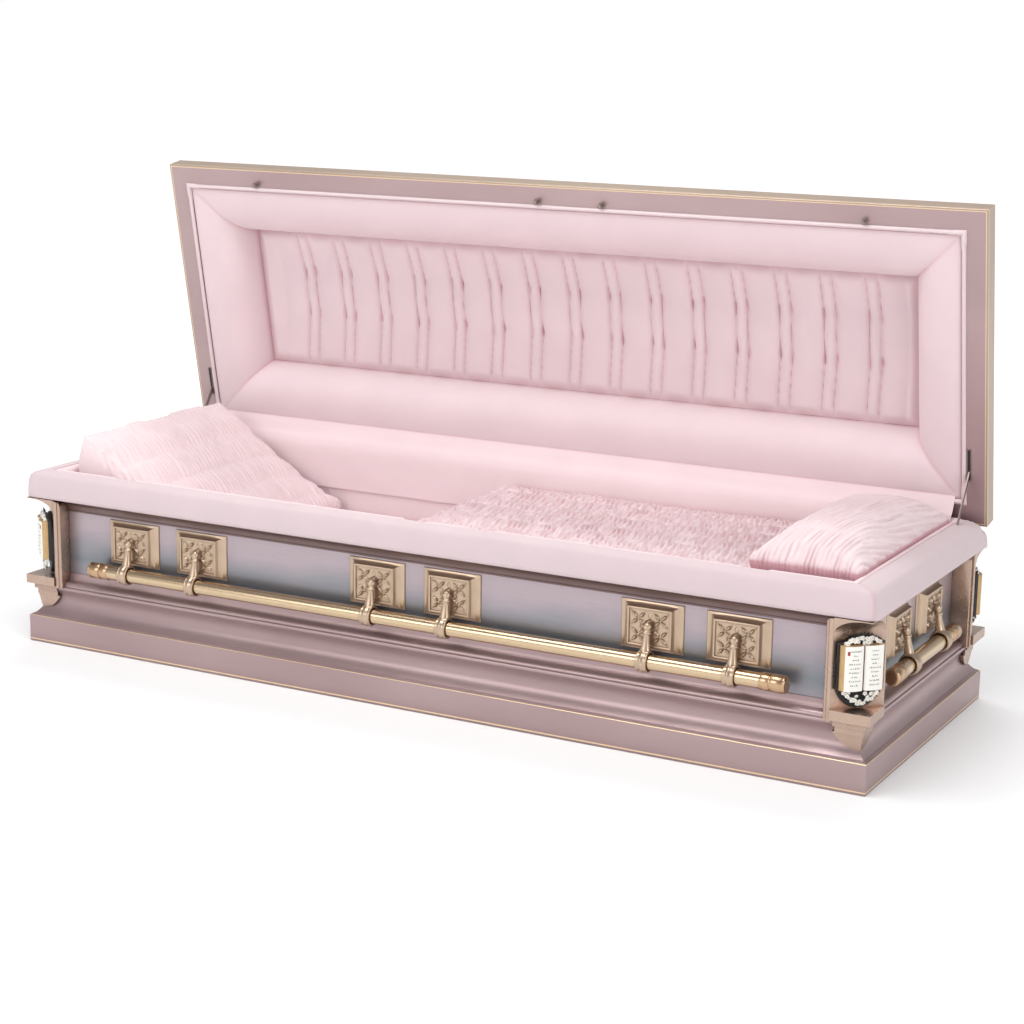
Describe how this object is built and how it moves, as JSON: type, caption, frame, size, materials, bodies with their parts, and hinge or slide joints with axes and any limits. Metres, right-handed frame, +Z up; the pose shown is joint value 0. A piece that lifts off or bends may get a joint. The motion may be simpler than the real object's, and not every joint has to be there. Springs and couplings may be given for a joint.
{
  "type": "funeral casket",
  "caption": "Steel casket with a hinged domed lid, moulded plinth, corner niches holding open books, swing-bar handles and a padded shirred interior.",
  "frame": {"origin": "centre of the underside, where the casket stands", "axes": "+X along the length towards the foot end, +Y towards the hinge at the back, +Z up"},
  "size_m": [2.135, 0.844, 1.1093],
  "materials": {
    "mauve_paint": "satin",
    "panel_paint": "satin",
    "bronze": "antiqued",
    "bar_gold": "satin",
    "dark_steel": "satin",
    "pink_fabric": "crepe",
    "book": "matte",
    "gasket": "matte"
  },
  "bodies": {
    "casket": {"base_moulding": "mauve_paint", "body_shell": "panel_paint", "corner_niche_front_right": "bronze", "corner_niche_front_left": "bronze", "corner_niche_back_right": "bronze", "corner_niche_back_left": "bronze", "book_insert_front_right": "book", "book_insert_front_left": "book", "book_insert_back_right": "book", "book_insert_back_left": "book", "lug_front_1": "bronze", "lug_front_2": "bronze", "lug_front_3": "bronze", "lug_front_4": "bronze", "lug_front_5": "bronze", "lug_front_6": "bronze", "lug_back_1": "bronze", "lug_back_2": "bronze", "lug_back_3": "bronze", "lug_back_4": "bronze", "lug_back_5": "bronze", "lug_back_6": "bronze", "lug_right_1": "bronze", "lug_right_2": "bronze", "lug_left_1": "bronze", "lug_left_2": "bronze", "extendover": "pink_fabric", "body_lining": "pink_fabric", "mattress": "pink_fabric", "foot_throw": "pink_fabric", "head_pillow": "pink_fabric", "foot_pillow": "pink_fabric"},
    "lid": {"lid_shell": "mauve_paint", "lid_gasket": "gasket", "lid_border_roll": "pink_fabric", "lid_tufted_panel": "pink_fabric"},
    "front_handle": {"bar_front": "bar_gold", "arm_front_1": "bronze", "arm_front_2": "bronze", "arm_front_3": "bronze", "arm_front_4": "bronze", "arm_front_5": "bronze", "arm_front_6": "bronze"},
    "back_handle": {"bar_back": "bar_gold", "arm_back_1": "bronze", "arm_back_2": "bronze", "arm_back_3": "bronze", "arm_back_4": "bronze", "arm_back_5": "bronze", "arm_back_6": "bronze"},
    "right_handle": {"bar_right": "bar_gold", "arm_right_1": "bronze", "arm_right_2": "bronze"},
    "left_handle": {"bar_left": "bar_gold", "arm_left_1": "bronze", "arm_left_2": "bronze"},
    "stay_left": {"lid_stay_left": "dark_steel"},
    "stay_right": {"lid_stay_right": "dark_steel"}
  },
  "joints": [
    {"name": "lid_hinge", "type": "hinge", "parent": "casket", "child": "lid", "pos_m": [0, 0.3358, 0.4192], "axis": [1, 0, 0], "range_deg": [0, 79.4]},
    {"name": "stay_left_pivot", "type": "hinge", "parent": "casket", "child": "stay_left", "pos_m": [-1.0165, 0.2505, 0.405], "axis": [1, 0, 0], "range_deg": [0, 122.7]},
    {"name": "stay_right_pivot", "type": "hinge", "parent": "casket", "child": "stay_right", "pos_m": [1.0165, 0.2505, 0.405], "axis": [1, 0, 0], "range_deg": [0, 122.7]},
    {"name": "front_handle_swing", "type": "hinge", "parent": "casket", "child": "front_handle", "pos_m": [0, -0.3565, 0.27], "axis": [-1, 0, 0], "range_deg": [0, 70]},
    {"name": "back_handle_swing", "type": "hinge", "parent": "casket", "child": "back_handle", "pos_m": [0, 0.3565, 0.27], "axis": [1, 0, 0], "range_deg": [0, 70]},
    {"name": "right_handle_swing", "type": "hinge", "parent": "casket", "child": "right_handle", "pos_m": [1.033, 0, 0.27], "axis": [0, -1, 0], "range_deg": [0, 70]},
    {"name": "left_handle_swing", "type": "hinge", "parent": "casket", "child": "left_handle", "pos_m": [-1.033, 0, 0.27], "axis": [0, 1, 0], "range_deg": [0, 70]}
  ],
  "couplings": [
    {"joint": "stay_left_pivot", "follows": "lid_hinge", "ratio": 1.545},
    {"joint": "stay_right_pivot", "follows": "lid_hinge", "ratio": 1.545}
  ]
}
